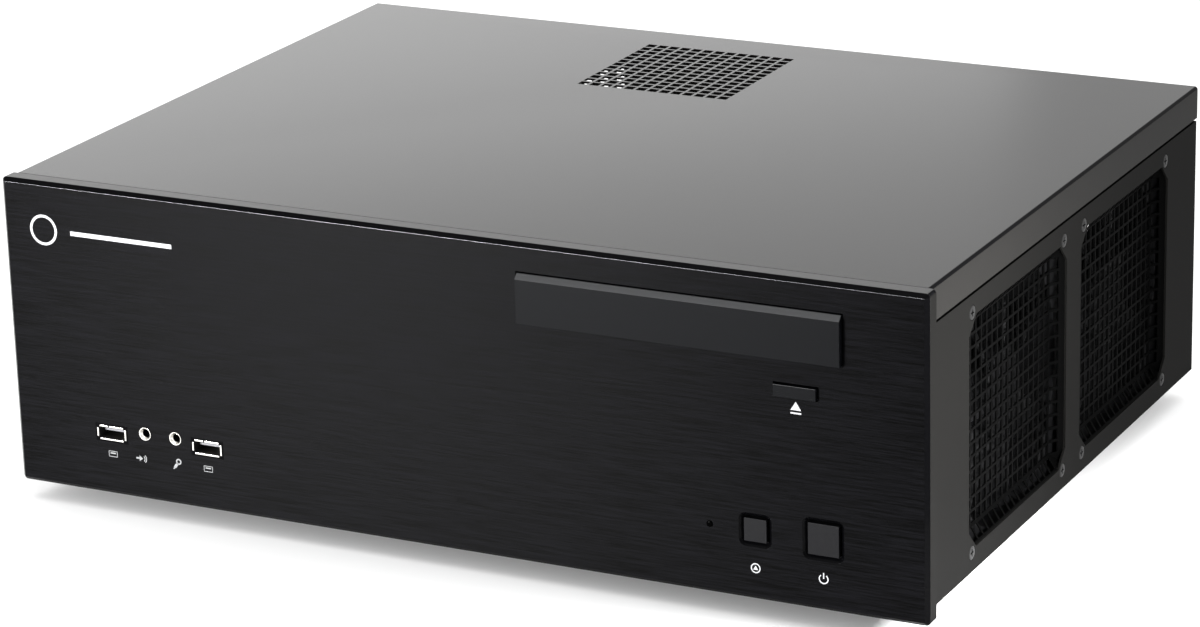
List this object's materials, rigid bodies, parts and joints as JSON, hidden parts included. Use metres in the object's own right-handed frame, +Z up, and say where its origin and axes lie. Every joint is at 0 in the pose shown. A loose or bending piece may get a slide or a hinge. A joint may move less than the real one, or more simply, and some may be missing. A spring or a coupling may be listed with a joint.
{
  "type": "desktop computer",
  "caption": "Horizontal desktop computer case with an optical drive, front buttons and sockets, side fans behind mesh grilles and a working interior.",
  "frame": {"origin": "on the surface the feet stand on, under the middle of the case", "axes": "+X to the right seen from the front, +Y to the back, +Z up"},
  "size_m": [0.44, 0.3365, 0.151],
  "materials": {
    "black_anodised": "brushed, dark anodised",
    "drive_cover_black": "matte, dark anodised",
    "key_black": "smooth",
    "satin_black": "satin powder coat",
    "mesh_black": "satin powder coat",
    "zinc_steel": "zinc plated",
    "disk_cast": "die cast",
    "drive_steel": "matte",
    "tray_plastic": "fine texture",
    "foot_plastic": "satin",
    "pad_rubber": "matte",
    "screw_steel": "zinc plated",
    "screw_black": "black oxide",
    "clear_lens": "clear",
    "circuit_board": "solder mask",
    "memory_board": "solder mask",
    "socket_plastic": "moulded",
    "processor_metal": "nickel plated",
    "fin_aluminium": "extruded",
    "capacitor_sleeve": "bare",
    "standoff_brass": "turned",
    "socket_metal": "nickel plated",
    "tongue_plastic": "moulded",
    "supply_black": "powder coat",
    "inlet_plastic": "moulded",
    "rocker_plastic": "smooth",
    "guard_wire": "nickel plated",
    "fan_plastic": "moulded",
    "rotor_plastic": "moulded"
  },
  "bodies": {
    "case": {"audio_jacks": "socket_metal", "base_pan": "satin_black", "board_sockets": "socket_plastic", "board_standoffs": "standoff_brass", "capacitors": "capacitor_sleeve", "chipset_heatsink": "fin_aluminium", "cover_thumbscrews": "screw_black", "cross_brace": "zinc_steel", "drive_bracket": "zinc_steel", "fan_screws": "screw_black", "feet": "foot_plastic", "foot_pads": "pad_rubber", "foot_screws": "screw_steel", "front_panel": "black_anodised", "front_socket_board": "circuit_board", "front_subframe": "zinc_steel", "front_switch_board": "circuit_board", "front_switches": "socket_plastic", "hard_drive": "disk_cast", "hard_drive_tray": "zinc_steel", "left_fan_frame": "fan_plastic", "left_grille": "mesh_black", "left_side_panel": "satin_black", "memory_modules": "memory_board", "motherboard": "circuit_board", "optical_drive_housing": "drive_steel", "power_inlet": "inlet_plastic", "power_supply_case": "supply_black", "processor": "processor_metal", "processor_fan_frame": "fan_plastic", "processor_heatsink": "fin_aluminium", "rear_audio_jacks": "socket_metal", "rear_panel": "satin_black", "rear_port_shield": "zinc_steel", "rear_ports": "socket_metal", "right_front_fan_frame": "fan_plastic", "right_front_grille": "mesh_black", "right_rear_fan_frame": "fan_plastic", "right_rear_grille": "mesh_black", "right_side_panel": "satin_black", "slot_covers": "mesh_black", "slot_screws": "screw_steel", "status_led": "clear_lens", "supply_fan_frame": "fan_plastic", "supply_fan_guard": "guard_wire", "top_cover": "satin_black", "usb_sockets": "socket_metal", "usb_tongues": "tongue_plastic"},
    "tray": {"disc_tray": "tray_plastic", "drive_cover": "drive_cover_black"},
    "eject_key": {"eject_button": "key_black"},
    "power_key": {"power_button": "key_black"},
    "reset_key": {"reset_button": "key_black"},
    "right_front_rotor": {"right_front_fan_rotor": "rotor_plastic"},
    "right_rear_rotor": {"right_rear_fan_rotor": "rotor_plastic"},
    "left_rotor": {"left_fan_rotor": "rotor_plastic"},
    "processor_rotor": {"processor_fan_rotor": "rotor_plastic"},
    "supply_rotor": {"supply_fan_rotor": "rotor_plastic"},
    "rocker": {"supply_rocker_switch": "rocker_plastic"}
  },
  "joints": [
    {"name": "tray_slide", "type": "slide", "parent": "case", "child": "tray", "axis": [0, -1, 0], "range_m": [0, 0.14]},
    {"name": "eject_press", "type": "slide", "parent": "case", "child": "eject_key", "axis": [0, 1, 0], "range_m": [0, 0.0015], "stiffness_N_per_m": 700, "springref_m": -0.0006},
    {"name": "power_press", "type": "slide", "parent": "case", "child": "power_key", "axis": [0, 1, 0], "range_m": [0, 0.0015], "stiffness_N_per_m": 700, "springref_m": -0.0006},
    {"name": "reset_press", "type": "slide", "parent": "case", "child": "reset_key", "axis": [0, 1, 0], "range_m": [0, 0.0015], "stiffness_N_per_m": 700, "springref_m": -0.0006},
    {"name": "right_front_fan_spin", "type": "hinge", "parent": "case", "child": "right_front_rotor", "pos_m": [0.1865, -0.0595, 0.0745], "axis": [1, 0, 0], "continuous": true},
    {"name": "right_rear_fan_spin", "type": "hinge", "parent": "case", "child": "right_rear_rotor", "pos_m": [0.1865, 0.0695, 0.0745], "axis": [1, 0, 0], "continuous": true},
    {"name": "left_fan_spin", "type": "hinge", "parent": "case", "child": "left_rotor", "pos_m": [-0.1865, -0.0595, 0.0745], "axis": [-1, 0, 0], "continuous": true},
    {"name": "processor_fan_spin", "type": "hinge", "parent": "case", "child": "processor_rotor", "pos_m": [0.1132, 0.067, 0.05945], "axis": [0, 0, 1], "continuous": true},
    {"name": "supply_fan_spin", "type": "hinge", "parent": "case", "child": "supply_rotor", "pos_m": [-0.1075, 0.142, 0.0575], "axis": [0, 1, 0], "continuous": true},
    {"name": "supply_switch_rock", "type": "hinge", "parent": "case", "child": "rocker", "pos_m": [-0.1875, 0.1622, 0.0685], "axis": [-1, 0, 0], "range_deg": [0, 18]}
  ]
}
